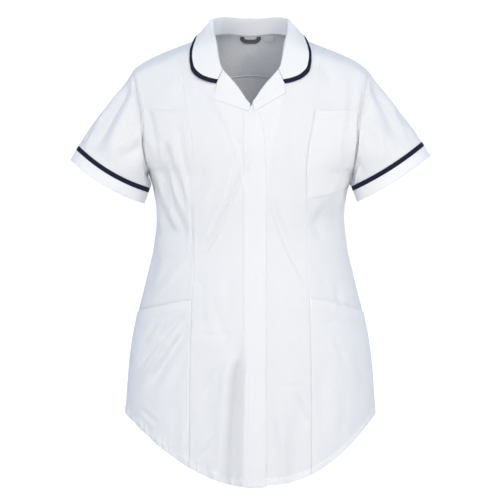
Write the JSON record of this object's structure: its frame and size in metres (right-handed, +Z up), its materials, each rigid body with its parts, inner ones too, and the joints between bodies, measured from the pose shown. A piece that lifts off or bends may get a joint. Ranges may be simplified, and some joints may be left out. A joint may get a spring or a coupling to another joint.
{
  "type": "maternity tunic",
  "caption": "White short-sleeved maternity tunic in its worn, hollow form, with revere collar, concealed front, curved hem, pockets and navy edging.",
  "frame": {"origin": "midway between the shoulders, at the height where the shoulder seams meet the neck", "axes": "+X to the wearer's left, +Y to the back, +Z up"},
  "size_m": [0.6482, 0.2892, 0.8422],
  "materials": {
    "white_cloth": "matt woven poly-cotton",
    "navy_cloth": "matt woven poly-cotton",
    "grey_tape": "matt woven tape",
    "label_cloth": "smooth woven ribbon, blank"
  },
  "bodies": {
    "root": {"front_centre_right": "white_cloth", "front_centre_left": "white_cloth", "front_yoke_right": "white_cloth", "front_side_right": "white_cloth", "front_side_left": "white_cloth", "placket": "white_cloth", "chest_pocket": "white_cloth", "lower_pocket_right": "white_cloth", "lower_pocket_left": "white_cloth", "back_yoke": "white_cloth", "back_panel": "white_cloth", "sleeve_right": "white_cloth", "sleeve_left": "white_cloth", "cuff_right": "white_cloth", "cuff_left": "white_cloth", "collar": "white_cloth", "lapel_right": "white_cloth", "lapel_left": "white_cloth", "sleeve_trim_right": "navy_cloth", "sleeve_trim_left": "navy_cloth", "collar_trim": "navy_cloth", "hang_loop": "grey_tape", "size_label": "label_cloth"}
  },
  "joints": []
}
